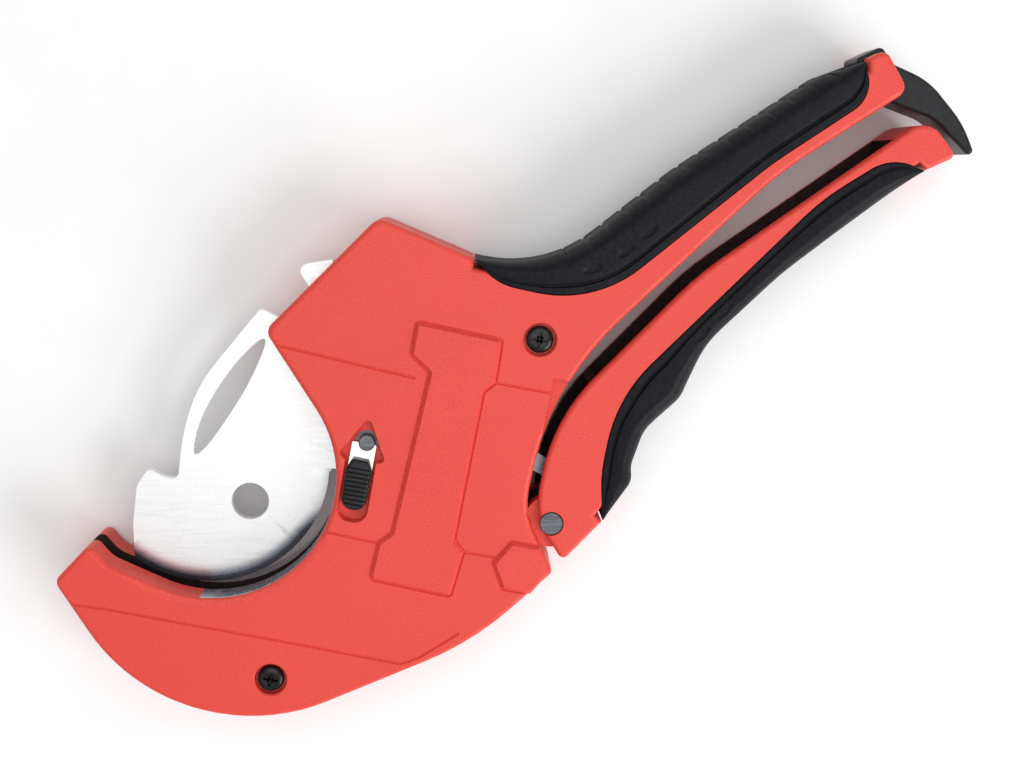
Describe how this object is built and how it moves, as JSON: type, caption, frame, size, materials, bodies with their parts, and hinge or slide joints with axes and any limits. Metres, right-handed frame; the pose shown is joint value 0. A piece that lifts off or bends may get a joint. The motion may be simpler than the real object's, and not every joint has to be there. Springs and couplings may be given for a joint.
{
  "type": "pipe cutter",
  "caption": "Ratchet hand cutter for plastic pipe: red two-shell housing with a hooked jaw, swinging steel blade, pumping lower handle, rubber grips and a handle latch.",
  "frame": {"origin": "centre of the tool's bounding box, on the plane that its far side lies on", "axes": "+X along the tool from the jaw to the handle ends, +Z out of the near side with the lock button, parallel to the pivot pins"},
  "size_m": [0.2402, 0.177, 0.026],
  "materials": {
    "red_coating": "matt red powder coat over die-cast aluminium, fine grain",
    "black_rubber": "soft-touch moulded rubber",
    "black_nylon": "glass-filled nylon, satin",
    "blade_steel": "ground and polished blade steel",
    "pin_steel": "turned steel, lightly oiled",
    "spring_steel": "drawn spring wire and strip",
    "black_oxide": "black oxide screw steel"
  },
  "bodies": {
    "housing": {"blade_pivot_pin": "pin_steel", "blade_washer_far": "pin_steel", "blade_washer_near": "pin_steel", "far_shell": "red_coating", "handle_pivot_pin": "pin_steel", "handle_return_spring": "spring_steel", "holding_pawl_pin": "pin_steel", "holding_pawl_spring": "spring_steel", "latch_pin": "pin_steel", "near_shell": "red_coating", "nut_jaw": "pin_steel", "nut_top": "pin_steel", "screw_corner": "black_oxide", "screw_jaw": "black_oxide", "screw_top": "black_oxide", "upper_grip": "black_rubber"},
    "blade": {"blade": "blade_steel"},
    "moving_handle": {"moving_handle": "red_coating", "lower_grip": "black_rubber", "drive_pawl_pin": "pin_steel", "drive_pawl_spring": "spring_steel"},
    "drive_pawl": {"drive_pawl": "pin_steel"},
    "holding_pawl": {"holding_pawl": "pin_steel"},
    "latch": {"latch": "black_nylon"},
    "lock_slide": {"lock_button": "black_nylon", "lock_plate": "blade_steel"}
  },
  "joints": [
    {"name": "blade_swing", "type": "hinge", "parent": "housing", "child": "blade", "pos_m": [-0.03794, -0.01371, 0.013], "axis": [0, 0, -1], "range_deg": [0, 86]},
    {"name": "handle_swing", "type": "hinge", "parent": "housing", "child": "moving_handle", "pos_m": [0.0105, -0.03556, 0.013], "axis": [0, 0, -1], "range_deg": [0, 16]},
    {"name": "drive_pawl_swing", "type": "hinge", "parent": "moving_handle", "child": "drive_pawl", "pos_m": [0.01884, -0.02821, 0.013], "axis": [0, 0, 1], "range_deg": [0, 19]},
    {"name": "holding_pawl_swing", "type": "hinge", "parent": "housing", "child": "holding_pawl", "pos_m": [-0.01269, -0.03751, 0.013], "axis": [0, 0, -1], "range_deg": [-3.5, 12]},
    {"name": "latch_swing", "type": "hinge", "parent": "housing", "child": "latch", "pos_m": [0.09467, 0.08052, 0.013], "axis": [0, 0, 1], "range_deg": [0, 25]},
    {"name": "lock_slide", "type": "slide", "parent": "housing", "child": "lock_slide", "axis": [-0.1891, -0.982, 0], "range_m": [0, 0.0026]}
  ],
  "couplings": [
    {"joint": "drive_pawl_swing", "follows": "handle_swing", "ratio": 1.18}
  ]
}
